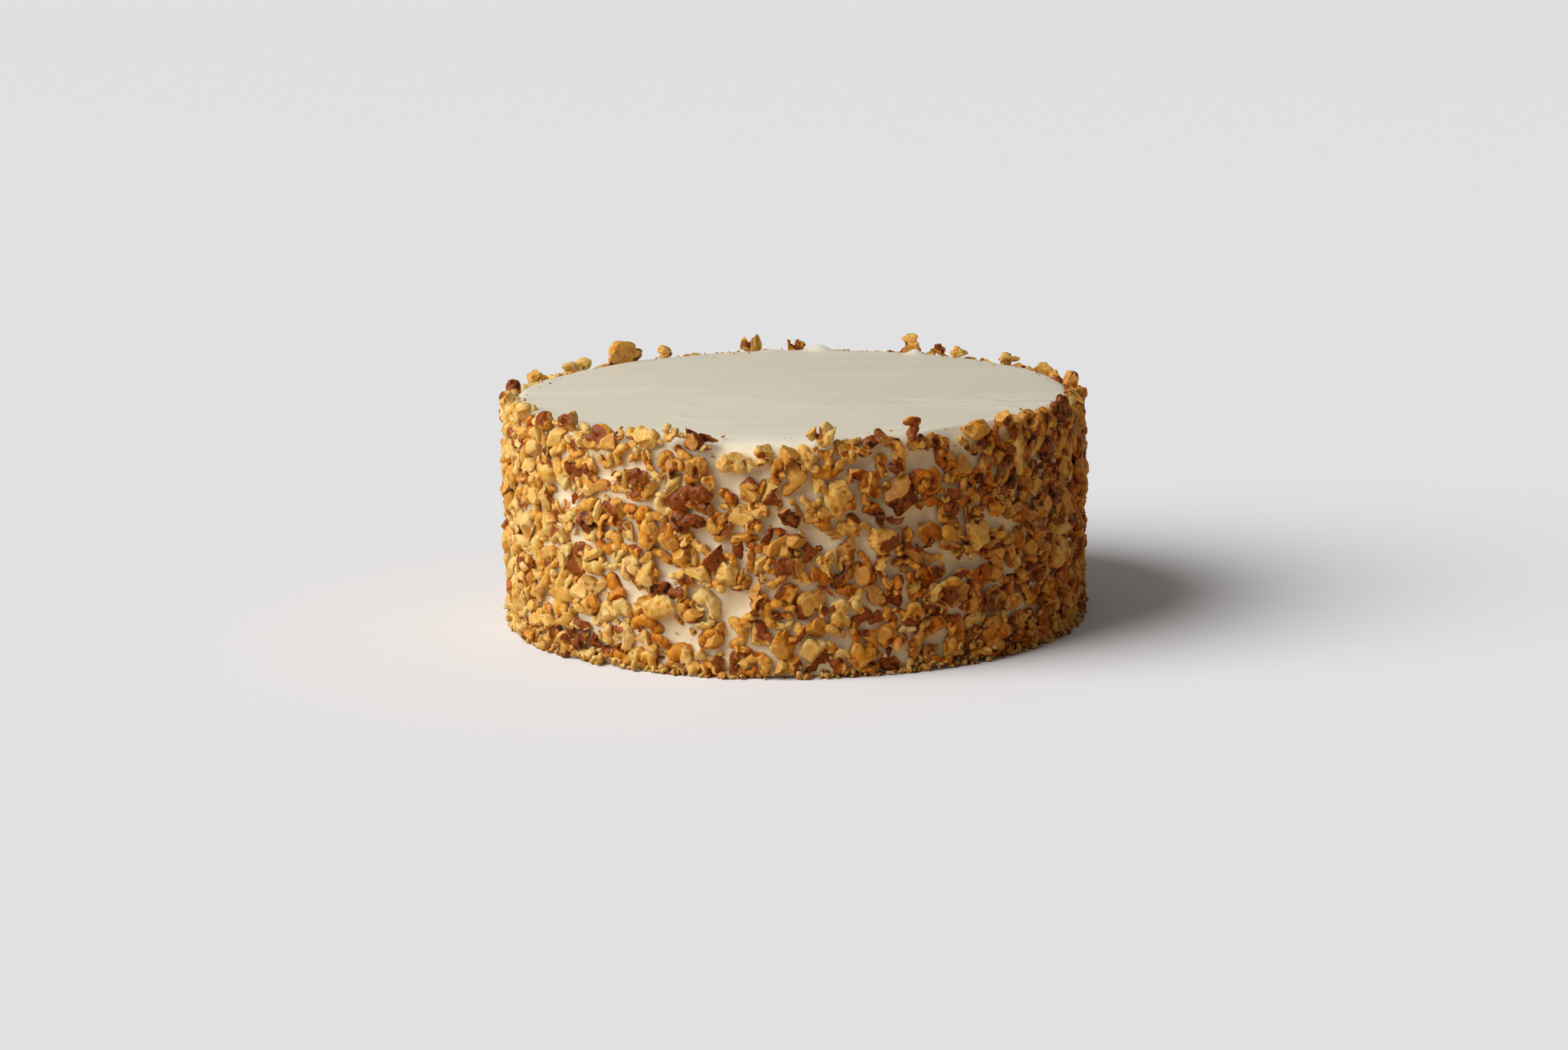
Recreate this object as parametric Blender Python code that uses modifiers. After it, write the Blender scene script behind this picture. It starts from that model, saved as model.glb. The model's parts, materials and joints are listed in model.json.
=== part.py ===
"""Round carrot cake, frosted all over, its side coated with chopped walnuts.

Units are metres and +Z is up. The origin is the centre of the flat foot, and angles run
anticlockwise from +X as seen from above.
"""

import math
import random

import bmesh
import bpy
from mathutils import Matrix, Vector

MILLIMETRE = 0.001

# Cake and frosting, in one turned piece
CAKE_HEIGHT = 0.0945
SIDE_RADIUS = 0.1165
CORNER_RADIUS = 0.0048  # rolled edge between the top and the side
CORNER_STEPS = 3
TURN_STEPS = 72
MERGE_DISTANCE = 0.00001

# Coat of chopped walnuts on the side
SEAT_GAP = 0.0003  # clearance that keeps touching pieces apart
COAT_THICKNESS = 0.0052
FOOT_SPREAD = 0.0014  # extra thickness at the foot, where loose nuts heap up
FOOT_SPREAD_HEIGHT = 0.018
COAT_RISE = 0.0006  # how far the coat's top edge stands over the cake's top
COAT_WRAP = math.radians(48)  # how far the coat reaches up the rolled edge
COAT_ROWS = 9
COAT_LUMP = 0.0015  # how far single nuts stand out of the coat, or sink into it
COAT_SEED = 7

# Chunks as large as a berry
CHUNK_CORNERS = 18
CHUNK_UNEVENNESS = 0.14
SIDE_CHUNK_DEPTH = 0.0058  # how thick a chunk that lies flat on the side is
SIDE_CHUNK_INSET = 0.0012  # from the frosting to such a chunk's inner face
RIM_CHUNK_REACH = 0.0060  # how far a chunk on the rim reaches outside the frosting
RIM_CHUNK_DEPTH = 0.0044  # its least thickness, to which a share of its length is added
RIM_CHUNK_DEPTH_SHARE = 0.25

GOLDEN, BROWN, DARK = "golden_walnut", "brown_walnut", "dark_walnut"

# Chunks on the rim: angle in degrees, then length along the rim, height, and how far the
# chunk stands over the cake's top, in millimetres, and its tone.
RIM_CHUNKS = (
    (10.0, 9.5, 8.5, 4.0, DARK),
    (25.0, 9.0, 6.5, 3.0, GOLDEN),
    (38.0, 11.0, 6.5, 4.0, GOLDEN),
    (52.0, 8.0, 5.5, 3.6, GOLDEN),
    (57.0, 7.0, 5.0, 4.0, BROWN),
    (63.5, 10.0, 11.0, 7.8, BROWN),
    (89.0, 8.5, 6.5, 4.3, BROWN),
    (98.7, 9.8, 9.0, 6.6, GOLDEN),
    (118.0, 6.5, 6.5, 4.5, GOLDEN),
    (129.0, 19.0, 13.0, 9.0, BROWN),
    (142.5, 16.0, 6.5, 4.0, GOLDEN),
    (158.5, 8.5, 7.5, 4.2, GOLDEN),
    (171.0, 9.5, 8.5, 4.0, DARK),
    (186.0, 9.5, 9.5, 4.5, GOLDEN),
    (203.0, 9.0, 9.0, 5.0, GOLDEN),
    (213.0, 9.5, 9.0, 4.5, BROWN),
    (221.5, 10.0, 8.5, 6.5, BROWN),
    (230.5, 17.0, 12.0, 3.0, BROWN),
    (241.0, 12.0, 11.0, 4.2, GOLDEN),
    (246.2, 6.0, 8.0, 6.2, GOLDEN),
    (252.0, 14.0, 9.0, 4.8, DARK),
    (275.0, 12.0, 10.5, 7.5, GOLDEN),
    (285.7, 13.0, 8.0, 3.8, DARK),
    (292.3, 7.5, 10.0, 7.8, BROWN),
    (306.5, 13.0, 8.0, 3.2, GOLDEN),
    (314.5, 10.0, 7.0, 5.2, BROWN),
    (335.0, 13.0, 12.0, 5.5, DARK),
)
# Chunks on the side: angle in degrees, then height of the middle over the foot, length
# round the side and height of the chunk, in millimetres, and its tone.
SIDE_CHUNKS = (
    (40.0, 50.0, 11.0, 12.0, BROWN),
    (100.0, 62.0, 12.0, 13.0, GOLDEN),
    (150.0, 40.0, 13.0, 10.5, DARK),
    (188.0, 36.0, 10.0, 13.0, GOLDEN),
    (224.0, 9.5, 13.0, 10.0, DARK),
    (226.5, 58.0, 10.0, 9.5, DARK),
    (233.5, 65.0, 11.0, 9.0, BROWN),
    (239.0, 77.5, 10.0, 10.0, BROWN),
    (243.0, 27.0, 16.5, 10.5, GOLDEN),
    (249.5, 62.0, 15.5, 9.5, DARK),
    (251.5, 73.5, 13.5, 8.5, BROWN),
    (251.5, 83.8, 9.5, 9.5, DARK),
    (257.0, 41.5, 9.0, 10.5, GOLDEN),
    (258.0, 86.0, 12.0, 9.0, GOLDEN),
    (262.8, 33.0, 8.0, 12.0, BROWN),
    (264.3, 89.0, 8.5, 8.5, GOLDEN),
    (268.8, 45.0, 12.5, 8.5, BROWN),
    (269.0, 65.0, 10.0, 9.5, DARK),
    (269.0, 88.0, 8.0, 10.5, BROWN),
    (275.5, 46.0, 8.0, 12.0, GOLDEN),
    (278.0, 26.0, 8.5, 12.0, GOLDEN),
    (278.0, 71.0, 12.0, 16.0, GOLDEN),
    (286.5, 54.0, 12.5, 11.0, BROWN),
    (290.0, 71.0, 15.0, 17.0, DARK),
    (300.5, 67.0, 8.5, 12.0, BROWN),
    (300.5, 30.5, 10.0, 13.0, BROWN),
    (306.5, 52.0, 12.0, 14.0, GOLDEN),
    (317.0, 81.5, 6.5, 18.0, GOLDEN),
    (327.0, 80.0, 11.0, 11.0, DARK),
    (350.0, 60.0, 10.0, 12.0, BROWN),
)

# Base colour and roughness of each material
FINISHES = {
    "frosting": ((0.86, 0.82, 0.70), 0.45),
    "chopped_walnuts": ((0.72, 0.48, 0.22), 0.55),
    GOLDEN: ((0.78, 0.55, 0.26), 0.50),
    BROWN: ((0.60, 0.33, 0.13), 0.50),
    DARK: ((0.34, 0.15, 0.07), 0.45),
}


def clear_scene():
    for obj in list(bpy.data.objects):
        bpy.data.objects.remove(obj)


def new_collection(name):
    collection = bpy.data.collections.new(name)
    bpy.context.scene.collection.children.link(collection)
    return collection


def new_material(name):
    colour, roughness = FINISHES[name]
    material = bpy.data.materials.new(name)
    material.use_nodes = True
    shader = material.node_tree.nodes["Principled BSDF"]
    shader.inputs["Base Color"].default_value = (*colour, 1.0)
    shader.inputs["Roughness"].default_value = roughness
    shader.inputs["Metallic"].default_value = 0.0
    return material


def add_object(name, mesh, collection, material):
    mesh.name = name
    mesh.materials.clear()
    mesh.materials.append(material)
    obj = bpy.data.objects.new(name, mesh)
    collection.objects.link(obj)
    return obj


def turned_object(name, profile, closed, collection, material):
    """A profile of (radius, height) points with a Screw modifier that turns it round Z."""
    points = [(radius, 0.0, height) for radius, height in profile]
    edges = [(i, i + 1) for i in range(len(points) - 1)]
    if closed:
        edges.append((len(points) - 1, 0))
    mesh = bpy.data.meshes.new(name)
    mesh.from_pydata(points, edges, [])
    obj = add_object(name, mesh, collection, material)
    screw = obj.modifiers.new("turn", "SCREW")
    screw.steps = screw.render_steps = TURN_STEPS
    screw.use_merge_vertices = True
    screw.merge_threshold = MERGE_DISTANCE
    return obj


def evaluated_mesh(obj):
    bpy.context.view_layer.update()
    graph = bpy.context.evaluated_depsgraph_get()
    return bpy.data.meshes.new_from_object(obj.evaluated_get(graph))


def corner_point(lift, clearance=0.0):
    """(radius, height) on the rolled edge, lift radians over level and clearance outside."""
    reach = CORNER_RADIUS + clearance
    radius = SIDE_RADIUS - CORNER_RADIUS + reach * math.cos(lift)
    height = CAKE_HEIGHT - CORNER_RADIUS + reach * math.sin(lift)
    return radius, height


def add_cake(collection):
    """The whole uncut cake in its frosting, turned from the top's centre to the foot's."""
    steps = range(CORNER_STEPS, -1, -1)
    corner = [corner_point(math.pi / 2 * step / CORNER_STEPS) for step in steps]
    profile = [(0.0, CAKE_HEIGHT), *corner, (SIDE_RADIUS, 0.0), (0.0, 0.0)]
    return turned_object("frosted_cake", profile, False, collection, new_material("frosting"))


def coat_outer_radius(height):
    spread = max(0.0, 1 - height / FOOT_SPREAD_HEIGHT)
    return SIDE_RADIUS + COAT_THICKNESS + FOOT_SPREAD * spread


def roughen_coat(mesh):
    """Moves each point of the coat's outside by the lump of the nut that it stands for."""
    chance = random.Random(COAT_SEED)
    for vertex in mesh.vertices:
        radius = math.hypot(vertex.co.x, vertex.co.y)
        if radius < SIDE_RADIUS + COAT_THICKNESS / 3:
            continue
        share = 1 + chance.uniform(-1, 1) * COAT_LUMP / radius
        vertex.co.x *= share
        vertex.co.y *= share
        if vertex.co.z > CAKE_HEIGHT - CORNER_RADIUS:
            vertex.co.z += chance.uniform(-1, 1) * COAT_LUMP / 2


def add_coat(collection):
    """The coat of chopped nuts: a ring round the side, uneven on its outside."""
    inner = [(SIDE_RADIUS + SEAT_GAP, 0.0)]
    inner += [corner_point(COAT_WRAP * step / 2, SEAT_GAP) for step in range(3)]
    crest = (SIDE_RADIUS + COAT_THICKNESS / 2, CAKE_HEIGHT + COAT_RISE)
    top = CAKE_HEIGHT - CORNER_RADIUS / 2
    heights = [top * row / COAT_ROWS for row in range(COAT_ROWS, -1, -1)]
    outer = [(coat_outer_radius(height), height) for height in heights]
    material = new_material("chopped_walnuts")
    coat = turned_object("walnut_coat", [*inner, crest, *outer], True, collection, material)
    rough = evaluated_mesh(coat)
    coat.modifiers.clear()
    coat.data = rough
    roughen_coat(rough)
    return coat


def extent(bm, axis):
    values = [vertex.co[axis] for vertex in bm.verts]
    return min(values), max(values)


def chunk_mesh(seed, size):
    """A chopped chunk with flat cuts, whose box is centred on the origin and has this size."""
    chance = random.Random(seed)
    bm = bmesh.new()
    bmesh.ops.create_icosphere(bm, subdivisions=2, radius=1.0)
    spare = chance.sample(bm.verts[:], len(bm.verts) - CHUNK_CORNERS)
    bmesh.ops.delete(bm, geom=spare, context="VERTS")
    for vertex in bm.verts:
        vertex.co *= 1 + chance.uniform(-CHUNK_UNEVENNESS, CHUNK_UNEVENNESS)
    bmesh.ops.delete(bm, geom=bm.edges[:], context="EDGES_FACES")
    hull = bmesh.ops.convex_hull(bm, input=bm.verts)
    bmesh.ops.delete(bm, geom=hull["geom_interior"], context="VERTS")
    ends = [extent(bm, axis) for axis in range(3)]
    middle = Vector([(low + high) / 2 for low, high in ends])
    fit = Matrix.Diagonal([size[i] / (ends[i][1] - ends[i][0]) for i in range(3)]).to_4x4()
    bmesh.ops.transform(bm, matrix=fit @ Matrix.Translation(-middle), verts=bm.verts)
    bmesh.ops.recalc_face_normals(bm, faces=bm.faces)
    mesh = bpy.data.meshes.new("chunk")
    bm.to_mesh(mesh)
    bm.free()
    return mesh


def rim_chunk_place(angle, length, height, rise):
    """(angle, radius, height of the middle, size) of a chunk that sits on the rim."""
    depth = RIM_CHUNK_DEPTH + RIM_CHUNK_DEPTH_SHARE * length * MILLIMETRE
    size = Vector((length * MILLIMETRE, depth, height * MILLIMETRE))
    radius = SIDE_RADIUS + RIM_CHUNK_REACH - depth / 2
    return math.radians(angle), radius, CAKE_HEIGHT + rise * MILLIMETRE - size.z / 2, size


def side_chunk_place(angle, middle, length, height):
    """(angle, radius, height of the middle, size) of a chunk that lies flat on the side."""
    size = Vector((length * MILLIMETRE, SIDE_CHUNK_DEPTH, height * MILLIMETRE))
    radius = SIDE_RADIUS + SIDE_CHUNK_INSET + SIDE_CHUNK_DEPTH / 2
    return math.radians(angle), radius, middle * MILLIMETRE, size


def add_chunks(collection, pockets):
    """A node for each chunk and, in pockets, a cutter of the same shape with a gap round it."""
    tones = {tone: new_material(tone) for tone in (GOLDEN, BROWN, DARK)}
    chunks = [(rim_chunk_place(*numbers), tone) for *numbers, tone in RIM_CHUNKS]
    chunks += [(side_chunk_place(*numbers), tone) for *numbers, tone in SIDE_CHUNKS]
    around = Vector((SEAT_GAP, SEAT_GAP, SEAT_GAP)) * 2
    for number, ((angle, radius, height, size), tone) in enumerate(chunks, start=1):
        middle = (radius * math.cos(angle), radius * math.sin(angle), height)
        turn = Matrix.Rotation(angle - math.pi / 2, 4, "Z")
        name = f"walnut_chunk_{number:02d}"
        chunk = add_object(name, chunk_mesh(number, size), collection, tones[tone])
        pocket = add_object(
            f"pocket_{number:02d}", chunk_mesh(number, size + around), pockets, tones[tone]
        )
        chunk.matrix_world = pocket.matrix_world = Matrix.Translation(middle) @ turn
        pocket.hide_render = True
        pocket.display_type = "WIRE"


def cut_pockets(obj, pockets):
    cut = obj.modifiers.new("pockets", "BOOLEAN")
    cut.operation = "DIFFERENCE"
    cut.operand_type = "COLLECTION"
    cut.collection = pockets


def main():
    clear_scene()
    parts = new_collection("carrot_cake")
    pockets = new_collection("pocket_cutters")
    cake = add_cake(parts)
    coat = add_coat(parts)
    add_chunks(parts, pockets)
    cut_pockets(cake, pockets)
    cut_pockets(coat, pockets)


main()
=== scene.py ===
"""Looks of a round carrot cake: satin cream frosting, its side coated with chopped walnuts.

Everything is in metres, +Z is up, and angles run anticlockwise from +X as seen from above.
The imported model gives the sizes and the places. The frosting, the chunks and the coat of
chopped walnuts are modelled here in detail.
"""

from __future__ import annotations

import json
import logging
import math
import random
from dataclasses import dataclass, field
from enum import Enum

import bmesh
import bpy
import numpy as np
from mathutils import Matrix, Vector, noise

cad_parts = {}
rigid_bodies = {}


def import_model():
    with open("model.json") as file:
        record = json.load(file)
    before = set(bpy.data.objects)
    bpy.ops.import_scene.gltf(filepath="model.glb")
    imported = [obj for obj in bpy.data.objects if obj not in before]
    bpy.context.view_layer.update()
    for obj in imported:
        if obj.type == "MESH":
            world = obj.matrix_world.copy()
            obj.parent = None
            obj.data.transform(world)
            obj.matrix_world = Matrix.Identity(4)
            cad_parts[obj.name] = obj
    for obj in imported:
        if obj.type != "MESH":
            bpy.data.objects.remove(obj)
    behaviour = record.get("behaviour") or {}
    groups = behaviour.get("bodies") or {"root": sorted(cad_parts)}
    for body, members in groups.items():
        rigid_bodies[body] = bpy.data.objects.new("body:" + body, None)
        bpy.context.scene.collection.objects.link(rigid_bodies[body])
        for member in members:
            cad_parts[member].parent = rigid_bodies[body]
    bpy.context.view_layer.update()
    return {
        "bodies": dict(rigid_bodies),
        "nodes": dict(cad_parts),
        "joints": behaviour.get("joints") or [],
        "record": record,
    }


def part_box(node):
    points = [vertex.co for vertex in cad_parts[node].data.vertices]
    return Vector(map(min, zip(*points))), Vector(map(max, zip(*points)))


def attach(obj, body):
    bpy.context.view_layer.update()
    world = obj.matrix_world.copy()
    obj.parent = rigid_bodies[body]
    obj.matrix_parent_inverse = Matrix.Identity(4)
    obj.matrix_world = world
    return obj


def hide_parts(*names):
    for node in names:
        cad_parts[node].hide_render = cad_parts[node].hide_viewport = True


log = logging.getLogger("carrot_cake")

MM = 0.001
FULL_TURN = 2 * math.pi
BODY = "root"
NUT_CREASE = math.radians(48)


# --------------------------------------------------------------------------- small tools


def smoothstep(low: float, high: float, value: np.ndarray) -> np.ndarray:
    """Rises smoothly from 0 where value is low to 1 where it is high.

    Args:
        low: Value at which the step starts.
        high: Value at which the step ends.
        value: The values to map.

    Returns:
        The mapped values, from 0 to 1.
    """
    share = np.clip((value - low) / (high - low), 0.0, 1.0)
    return share * share * (3 - 2 * share)


class ValueNoise:
    """Smooth random field in space that repeats every CELLS cells."""

    CELLS = 32

    def __init__(self, seed: int) -> None:
        """Fills the lattice.

        Args:
            seed: Seed of the lattice's random values.
        """
        self.lattice = np.random.default_rng(seed).uniform(-1, 1, (self.CELLS,) * 3)

    def __call__(self, x: np.ndarray, y: np.ndarray, z: np.ndarray) -> np.ndarray:
        """Reads the field.

        Args:
            x: First coordinates, in cells.
            y: Second coordinates, in cells.
            z: Third coordinates, in cells.

        Returns:
            The field's values, from -1 to 1.
        """
        total = np.zeros(np.broadcast(x, y, z).shape)
        corners, shares = [], []
        for values in np.broadcast_arrays(x, y, z):
            low = np.floor(values)
            share = values - low
            corners.append(low.astype(int))
            shares.append(share * share * (3 - 2 * share))
        for step in range(8):
            weight = np.ones_like(total)
            place = []
            for axis in range(3):
                up = (step >> axis) & 1
                weight = weight * (shares[axis] if up else 1 - shares[axis])
                place.append((corners[axis] + up) % self.CELLS)
            total += weight * self.lattice[tuple(place)]
        return total


def evaluated(mesh: bpy.types.Mesh, *modifiers: tuple[str, dict]) -> bpy.types.Mesh:
    """Runs modifiers on a mesh and takes the result.

    Args:
        mesh: The mesh to change; it is removed.
        modifiers: Type and settings of each modifier, in order.

    Returns:
        The changed mesh.
    """
    holder = bpy.data.objects.new("holder", mesh)
    bpy.context.scene.collection.objects.link(holder)
    for kind, settings in modifiers:
        modifier = holder.modifiers.new(kind.lower(), kind)
        for name, value in settings.items():
            setattr(modifier, name, value)
    graph = bpy.context.evaluated_depsgraph_get()
    result = bpy.data.meshes.new_from_object(holder.evaluated_get(graph))
    bpy.data.objects.remove(holder)
    bpy.data.meshes.remove(mesh)
    return result


def keep_largest(bm: bmesh.types.BMesh) -> None:
    """Deletes all but the largest of a mesh's separate islands.

    Args:
        bm: The mesh.
    """
    left = set(bm.verts)
    largest: set = set()
    while left:
        island = {left.pop()}
        edge = list(island)
        while edge:
            for link in edge.pop().link_edges:
                for vertex in link.verts:
                    if vertex in left:
                        left.discard(vertex)
                        island.add(vertex)
                        edge.append(vertex)
        largest = max(largest, island, key=len)
    bmesh.ops.delete(bm, geom=[v for v in bm.verts if v not in largest], context="VERTS")


def add_piece(
    name: str, mesh: bpy.types.Mesh, material: bpy.types.Material, node: str, crease: float = 0.0
) -> bpy.types.Object:
    """Puts a finished mesh in the scene as a piece of the cake.

    Args:
        name: Name of the piece.
        mesh: Its mesh, in place.
        material: Its material.
        node: The CAD node that it stands for.
        crease: Angle over which an edge is shaded sharp, or 0 for none.

    Returns:
        The new object.
    """
    mesh.name = name
    mesh.materials.clear()
    mesh.materials.append(material)
    mesh.shade_smooth()
    if crease:
        mesh.set_sharp_from_angle(angle=crease)
    piece = bpy.data.objects.new(name, mesh)
    bpy.context.scene.collection.objects.link(piece)
    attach(piece, BODY)
    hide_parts(node)
    log.info("%s: %d faces", name, len(mesh.polygons))
    return piece


# ------------------------------------------------------------------------ shader helpers


class Graph:
    """Short way to add and link nodes in one node tree."""

    def __init__(self, tree: bpy.types.NodeTree) -> None:
        """Wraps a tree.

        Args:
            tree: The node tree to build in.
        """
        self.tree = tree

    def add(self, kind: str, inputs: dict | None = None, **settings: object) -> bpy.types.Node:
        """Adds a node, sets it up and links what it is given.

        Args:
            kind: The node's type.
            inputs: Socket name or number to a value, or to the socket that feeds it.
            settings: The node's own properties.

        Returns:
            The new node.
        """
        node = self.tree.nodes.new(kind)
        for name, value in settings.items():
            setattr(node, name, value)
        for key, value in (inputs or {}).items():
            if isinstance(value, bpy.types.NodeSocket):
                self.tree.links.new(value, node.inputs[key])
            else:
                node.inputs[key].default_value = value
        return node

    def math(self, operation: str, *values: object, clamp: bool = False) -> bpy.types.NodeSocket:
        """Adds a Math node.

        Args:
            operation: Its operation.
            values: Numbers or sockets for its inputs.
            clamp: Whether its result is kept from 0 to 1.

        Returns:
            Its output.
        """
        inputs = dict(enumerate(values))
        return self.add("ShaderNodeMath", inputs, operation=operation, use_clamp=clamp).outputs[0]

    def ramp(self, factor: object, stops: tuple[tuple[float, tuple], ...]) -> bpy.types.NodeSocket:
        """Adds a ColorRamp node.

        Args:
            factor: Number or socket that drives it.
            stops: Position and linear RGB colour of each stop.

        Returns:
            Its colour output.
        """
        node = self.add("ShaderNodeValToRGB", {0: factor})
        elements = node.color_ramp.elements
        while len(elements) < len(stops):
            elements.new(0.5)
        for element, (position, colour) in zip(elements, stops):
            element.position = position
            element.color = (*colour, 1.0)
        return node.outputs[0]

    def blend(self, factor: object, first: object, second: object, mode: str = "MIX"):
        """Adds a colour Mix node.

        Args:
            factor: Share of the second colour.
            first: First colour or its socket.
            second: Second colour or its socket.
            mode: The blend mode.

        Returns:
            Its colour output.
        """
        node = self.add("ShaderNodeMix", data_type="RGBA", blend_type=mode)
        for socket, value in ((0, factor), (6, first), (7, second)):
            if isinstance(value, bpy.types.NodeSocket):
                self.tree.links.new(value, node.inputs[socket])
            elif isinstance(value, tuple):
                node.inputs[socket].default_value = (*value, 1.0)
            else:
                node.inputs[socket].default_value = value
        return node.outputs[2]

    def noise(self, place: object, scale: float, detail: float = 2.0, stretch: tuple = (1, 1, 1)):
        """Adds a Noise Texture node, on stretched coordinates if asked.

        Args:
            place: Socket of the coordinates.
            scale: Cells for each metre.
            detail: Octaves of detail.
            stretch: Scale of the pattern's frequency on each axis.

        Returns:
            Its value output.
        """
        if stretch != (1, 1, 1):
            place = self.add("ShaderNodeMapping", {"Vector": place, "Scale": stretch}).outputs[0]
        inputs = {"Vector": place, "Scale": scale, "Detail": detail}
        return self.add("ShaderNodeTexNoise", inputs).outputs[0]


def new_group(name: str, inputs: dict[str, float], outputs: tuple[str, ...]):
    """Starts a shader node group with number sockets.

    Args:
        name: The group's name.
        inputs: Name and default value of each input.
        outputs: Name of each output.

    Returns:
        The group's tree, its Graph, its input node and its output node.
    """
    tree = bpy.data.node_groups.new(name, "ShaderNodeTree")
    for label, value in inputs.items():
        socket = tree.interface.new_socket(label, in_out="INPUT", socket_type="NodeSocketFloat")
        socket.default_value = value
    for label in outputs:
        tree.interface.new_socket(label, in_out="OUTPUT", socket_type="NodeSocketFloat")
    graph = Graph(tree)
    return tree, graph, graph.add("NodeGroupInput"), graph.add("NodeGroupOutput")


def frayed_mask_group() -> bpy.types.NodeTree:
    """Makes the group that turns a soft mask into one with a crisp, frayed edge.

    Returns:
        The group's tree.
    """
    inputs = {"Mask": 0.0, "Scale": 900.0, "Fray": 0.5, "Softness": 0.08}
    tree, graph, source, result = new_group("frayed_mask", inputs, ("Mask",))
    place = graph.add("ShaderNodeTexCoord").outputs["Object"]
    grain = graph.add("ShaderNodeTexNoise", {"Vector": place, "Scale": source.outputs["Scale"]})
    offset = graph.math("SUBTRACT", grain.outputs[0], 0.5)
    frayed = graph.math("MULTIPLY_ADD", offset, source.outputs["Fray"], source.outputs["Mask"])
    low = graph.math("SUBTRACT", 0.5, source.outputs["Softness"])
    high = graph.math("ADD", 0.5, source.outputs["Softness"])
    limits = {0: frayed, 1: low, 2: high, 3: 0.0, 4: 1.0}
    step = graph.add("ShaderNodeMapRange", limits, interpolation_type="SMOOTHSTEP")
    tree.links.new(step.outputs[0], result.inputs["Mask"])
    return tree


def specks_group() -> bpy.types.NodeTree:
    """Makes the group that scatters small round specks.

    Returns:
        The group's tree.
    """
    inputs = {"Scale": 400.0, "Size": 0.1, "Share": 0.5}
    tree, graph, source, result = new_group("specks", inputs, ("Mask",))
    place = graph.add("ShaderNodeTexCoord").outputs["Object"]
    cells = graph.add("ShaderNodeTexVoronoi", {"Vector": place, "Scale": source.outputs["Scale"]})
    near = graph.math("LESS_THAN", cells.outputs["Distance"], source.outputs["Size"])
    chance = graph.add("ShaderNodeSeparateColor", {0: cells.outputs["Color"]}).outputs[0]
    kept = graph.math("LESS_THAN", chance, source.outputs["Share"])
    tree.links.new(graph.math("MULTIPLY", near, kept), result.inputs["Mask"])
    return tree


# ------------------------------------------------------------------------------ finishes


@dataclass(frozen=True)
class FrostingFinish:
    """Satin cream frosting, faintly streaked by the spatula, its side tinted warm as painted light thrown back by
    the nuts.
    """

    colour: tuple[float, float, float] = (0.87, 0.855, 0.76)
    shade: tuple[float, float, float] = (0.81, 0.775, 0.66)
    # Warmer colour of the side below side_top: painted warm light bounced from the nuts.
    side: tuple[float, float, float] = (0.93, 0.825, 0.625)
    side_top: float = 0.0935
    roughness: float = 0.42
    subsurface: float = 0.35
    subsurface_depth: float = 0.0035

    def material(self) -> bpy.types.Material:
        """Builds the material, which reads Object coordinates."""
        material = bpy.data.materials.new("cream_frosting")
        material.use_nodes = True
        graph = Graph(material.node_tree)
        shader = material.node_tree.nodes["Principled BSDF"]
        place = graph.add("ShaderNodeTexCoord").outputs["Object"]
        patches = graph.noise(place, 28, 3, (0.5, 1, 1))
        colour = graph.blend(patches, self.colour, self.shade)
        # Below side_top the side takes the warmer colour: painted warm light bounced from the nuts.
        level = graph.add("ShaderNodeSeparateXYZ", {0: place}).outputs["Z"]
        limits = {0: level, 1: self.side_top, 2: self.side_top - 0.005, 3: 0.0, 4: 1.0}
        painted_warm_bounce = graph.add("ShaderNodeMapRange", limits, interpolation_type="SMOOTHSTEP")
        colour = graph.blend(painted_warm_bounce.outputs[0], colour, self.side)
        strokes = graph.noise(place, 260, 3, (0.08, 1, 1))
        grain = graph.noise(place, 1400, 2)
        relief = graph.math("MULTIPLY_ADD", grain, 0.15, strokes)
        bump = graph.add("ShaderNodeBump", {"Height": relief, "Strength": 0.12, "Distance": 0.0004})
        link = material.node_tree.links.new
        link(colour, shader.inputs["Base Color"])
        link(bump.outputs[0], shader.inputs["Normal"])
        rough = graph.add("ShaderNodeMapRange", {0: strokes, 3: self.roughness - 0.06, 4: self.roughness + 0.12})
        link(rough.outputs[0], shader.inputs["Roughness"])
        shader.inputs["Subsurface Weight"].default_value = self.subsurface
        shader.inputs["Subsurface Radius"].default_value = (1.0, 0.75, 0.45)
        shader.inputs["Subsurface Scale"].default_value = self.subsurface_depth
        shader.inputs["IOR"].default_value = 1.42
        return material


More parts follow.
